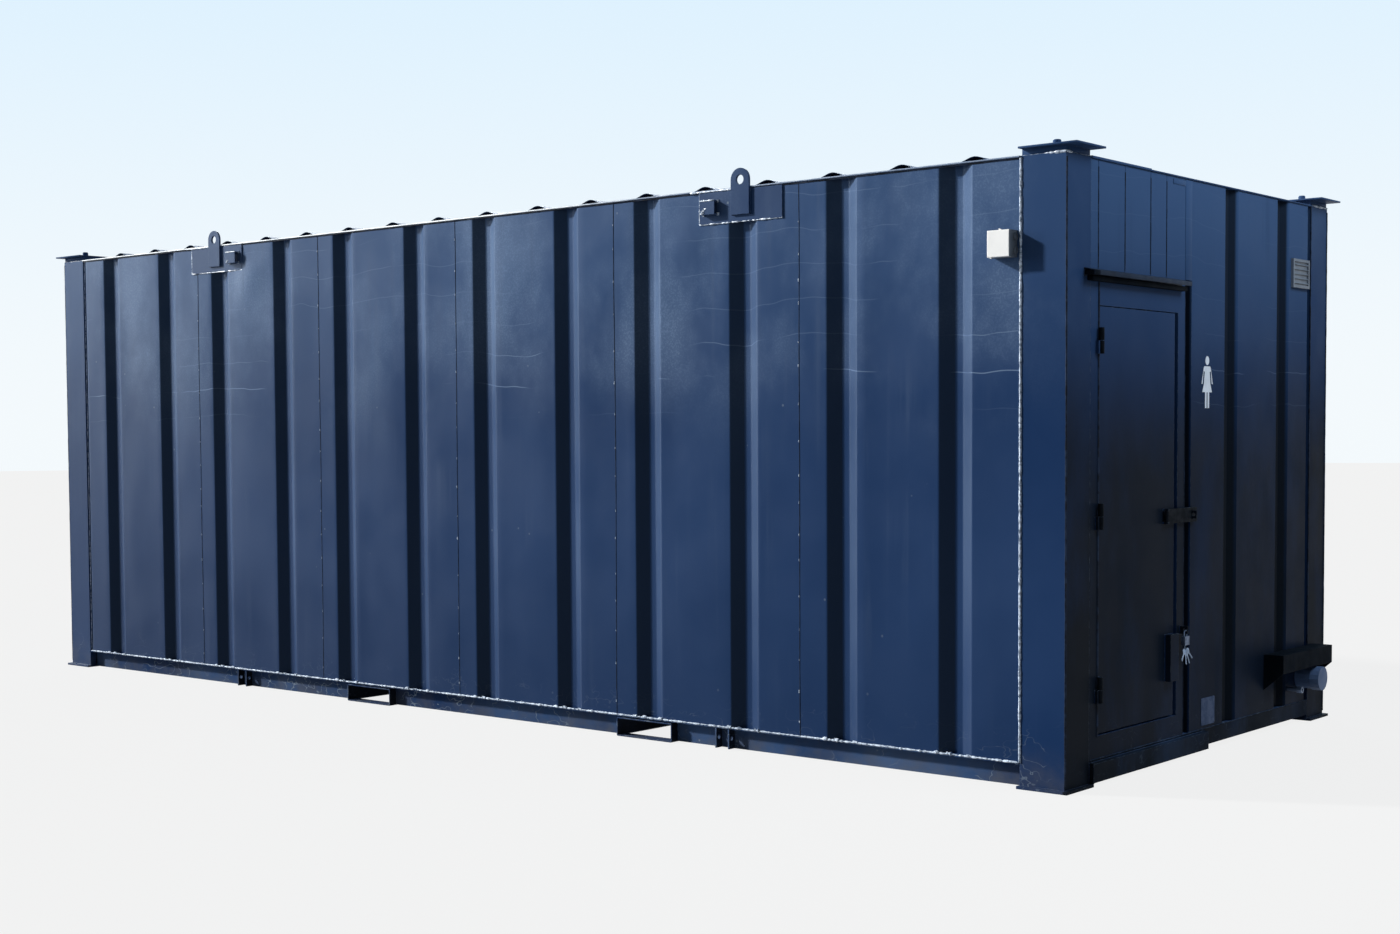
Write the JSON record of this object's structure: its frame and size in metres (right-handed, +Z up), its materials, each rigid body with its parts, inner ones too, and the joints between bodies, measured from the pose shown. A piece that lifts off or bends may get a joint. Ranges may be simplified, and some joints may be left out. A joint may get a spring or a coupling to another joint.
{
  "type": "toilet cabin",
  "caption": "Portable steel toilet cabin with pressed walls, corner posts, stacking plates, fork pockets, a steel door with hasp, and fitted WC cubicles and basin inside.",
  "frame": {"origin": "on the ground at the middle of the whole footprint", "axes": "+X towards the entrance end, +Y away from the long side that has the junction box, +Z up"},
  "size_m": [7.418, 2.856, 2.707],
  "materials": {
    "navy_paint": "satin",
    "black_steel": "satin",
    "bare_steel": "brushed",
    "white_plastic": "satin",
    "grey_plastic": "matt",
    "white_ceramic": "glazed",
    "floor_board": "vinyl faced",
    "white_board": "faced board",
    "blue_laminate": "laminate",
    "chrome": "polished"
  },
  "bodies": {
    "cabin": {"base_frame": "navy_paint", "fork_pocket_front": "navy_paint", "fork_pocket_rear": "navy_paint", "corner_post_1": "navy_paint", "corner_post_2": "navy_paint", "corner_post_3": "navy_paint", "corner_post_4": "navy_paint", "stacking_plate_1": "navy_paint", "stacking_plate_2": "navy_paint", "stacking_plate_3": "navy_paint", "stacking_plate_4": "navy_paint", "side_wall_left": "navy_paint", "side_wall_right": "navy_paint", "end_wall_rear": "navy_paint", "end_wall_front": "navy_paint", "door_head_infill": "navy_paint", "top_rail_left": "navy_paint", "top_rail_right": "navy_paint", "top_rail_front": "navy_paint", "top_rail_rear": "navy_paint", "roof_sheet": "navy_paint", "lifting_eye_1": "navy_paint", "lifting_eye_2": "navy_paint", "lifting_eye_3": "navy_paint", "lifting_eye_4": "navy_paint", "door_frame": "navy_paint", "door_canopy": "navy_paint", "vent_louvre": "navy_paint", "services_hood": "navy_paint", "soil_pipe": "grey_plastic", "water_inlet": "bare_steel", "junction_box": "white_plastic", "junction_box_lid": "white_plastic", "floor_deck": "floor_board", "wall_lining": "white_board", "ceiling_lining": "white_board", "cubicle_partitions": "blue_laminate", "wc_pan_1": "white_ceramic", "wc_pan_2": "white_ceramic", "cistern_1": "white_plastic", "cistern_2": "white_plastic", "wash_basin": "white_plastic", "mixer_tap": "chrome", "water_heater": "white_plastic", "ceiling_light": "white_plastic"},
    "entrance_door": {"door_skin": "navy_paint", "door_inner_panel": "white_board"},
    "hasp": {"hasp_strap": "black_steel"},
    "padlock": {"padlock": "bare_steel"},
    "fan": {"fan_impeller": "grey_plastic"},
    "soil_cap": {"soil_pipe_cap": "grey_plastic"},
    "cubicle_door_1_leaf": {"cubicle_door_1": "blue_laminate"},
    "cubicle_bolt_1_slide": {"cubicle_bolt_1": "chrome"},
    "seat_1": {"wc_seat_1": "white_plastic"},
    "flush_1": {"flush_lever_1": "chrome"},
    "cubicle_door_2_leaf": {"cubicle_door_2": "blue_laminate"},
    "cubicle_bolt_2_slide": {"cubicle_bolt_2": "chrome"},
    "seat_2": {"wc_seat_2": "white_plastic"},
    "flush_2": {"flush_lever_2": "chrome"},
    "tap_handle": {"tap_lever": "chrome"}
  },
  "joints": [
    {"name": "entrance_door_hinge", "type": "hinge", "parent": "cabin", "child": "entrance_door", "pos_m": [3.599, -1.084, 0.213], "axis": [0, 0, -1], "range_deg": [0, 110]},
    {"name": "hasp_hinge", "type": "hinge", "parent": "entrance_door", "child": "hasp", "pos_m": [3.599, -0.463, 1.1075], "axis": [0, 0, -1], "range_deg": [0, 170]},
    {"name": "padlock_swing", "type": "hinge", "parent": "cabin", "child": "padlock", "pos_m": [3.612, -0.298, 0.5863], "axis": [0, -1, 0], "range_deg": [-12, 60]},
    {"name": "fan_spin", "type": "hinge", "parent": "cabin", "child": "fan", "pos_m": [3.541, 1.034, 2.2665], "axis": [1, 0, 0], "continuous": true},
    {"name": "soil_cap_slide", "type": "slide", "parent": "cabin", "child": "soil_cap", "axis": [1, 0, 0], "range_m": [0, 0.15]},
    {"name": "cubicle_door_1_pivot", "type": "hinge", "parent": "cabin", "child": "cubicle_door_1_leaf", "pos_m": [-2.8497, -0.204, 0.334], "axis": [0, 0, -1], "range_deg": [0, 85]},
    {"name": "cubicle_bolt_1_run", "type": "slide", "parent": "cubicle_door_1_leaf", "child": "cubicle_bolt_1_slide", "axis": [-1, 0, 0], "range_m": [0, 0.03]},
    {"name": "seat_1_hinge", "type": "hinge", "parent": "cabin", "child": "seat_1", "pos_m": [-3.1147, 0.867, 0.551], "axis": [-1, 0, 0], "range_deg": [0, 97]},
    {"name": "flush_lever_1_turn", "type": "hinge", "parent": "cabin", "child": "flush_1", "pos_m": [-2.9747, 0.847, 1.24], "axis": [0, -1, 0], "range_deg": [0, 30], "stiffness_Nm_per_rad": 0.4, "springref_deg": -28.65},
    {"name": "cubicle_door_2_pivot", "type": "hinge", "parent": "cabin", "child": "cubicle_door_2_leaf", "pos_m": [-1.8997, -0.204, 0.334], "axis": [0, 0, -1], "range_deg": [0, 85]},
    {"name": "cubicle_bolt_2_run", "type": "slide", "parent": "cubicle_door_2_leaf", "child": "cubicle_bolt_2_slide", "axis": [-1, 0, 0], "range_m": [0, 0.03]},
    {"name": "seat_2_hinge", "type": "hinge", "parent": "cabin", "child": "seat_2", "pos_m": [-2.1647, 0.867, 0.551], "axis": [-1, 0, 0], "range_deg": [0, 97]},
    {"name": "flush_lever_2_turn", "type": "hinge", "parent": "cabin", "child": "flush_2", "pos_m": [-2.0247, 0.847, 1.24], "axis": [0, -1, 0], "range_deg": [0, 30], "stiffness_Nm_per_rad": 0.4, "springref_deg": -28.65},
    {"name": "tap_lever_turn", "type": "hinge", "parent": "cabin", "child": "tap_handle", "pos_m": [1.685, 0.932, 1.095], "axis": [0, 0, 1], "range_deg": [-60, 60]}
  ]
}
